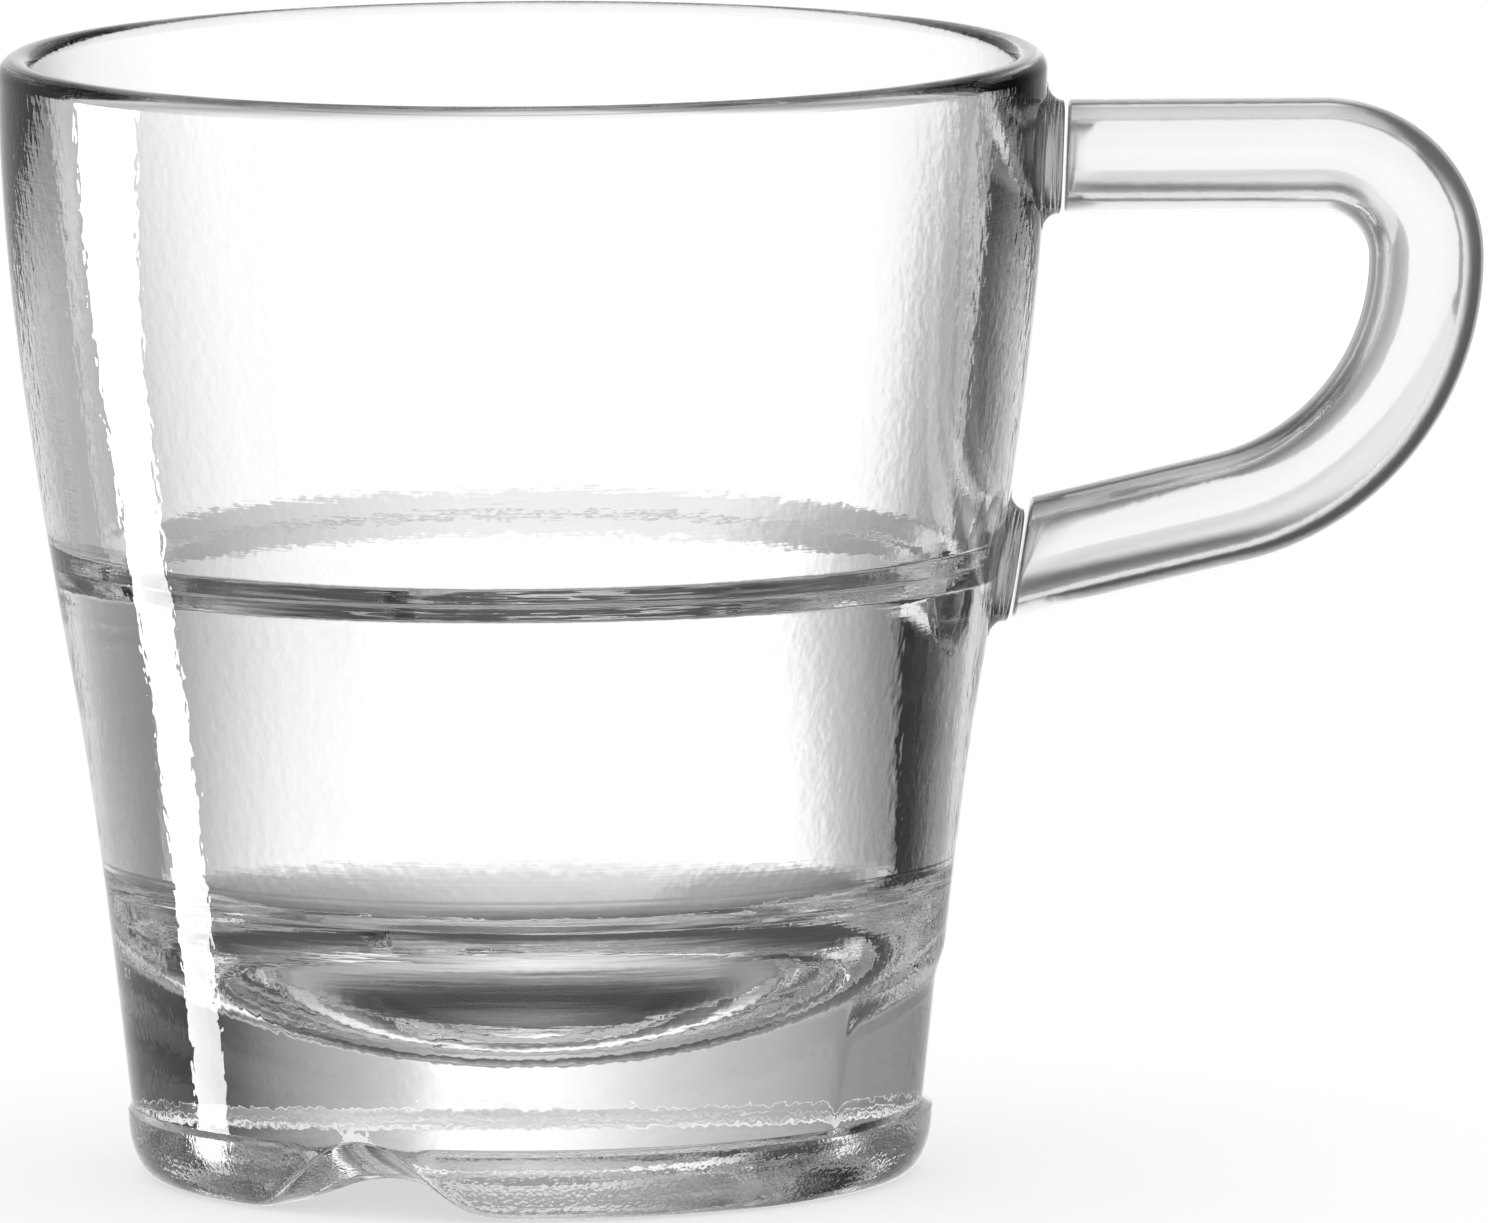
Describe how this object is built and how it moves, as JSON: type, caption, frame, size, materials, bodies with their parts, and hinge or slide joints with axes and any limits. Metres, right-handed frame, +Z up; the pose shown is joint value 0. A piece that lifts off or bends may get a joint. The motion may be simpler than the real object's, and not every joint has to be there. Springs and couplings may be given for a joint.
{
  "type": "espresso cup",
  "caption": "Clear glass espresso cup with a flared wall, an inner stacking ledge, a thick base on a notched foot ring and a round bar loop handle.",
  "frame": {"origin": "on the table, under the middle of the overall length across cup and handle; the cup axis stands 12.55 mm towards -X", "axes": "+Z up out of the mouth, +X from the cup towards the handle, handle in the XZ plane"},
  "size_m": [0.0856, 0.0606, 0.065],
  "materials": {
    "cup_glass": "polished",
    "handle_glass": "polished"
  },
  "bodies": {
    "root": {"cup_body": "cup_glass", "handle_bar": "handle_glass", "upper_handle_collar": "cup_glass", "lower_handle_collar": "cup_glass"}
  },
  "joints": []
}
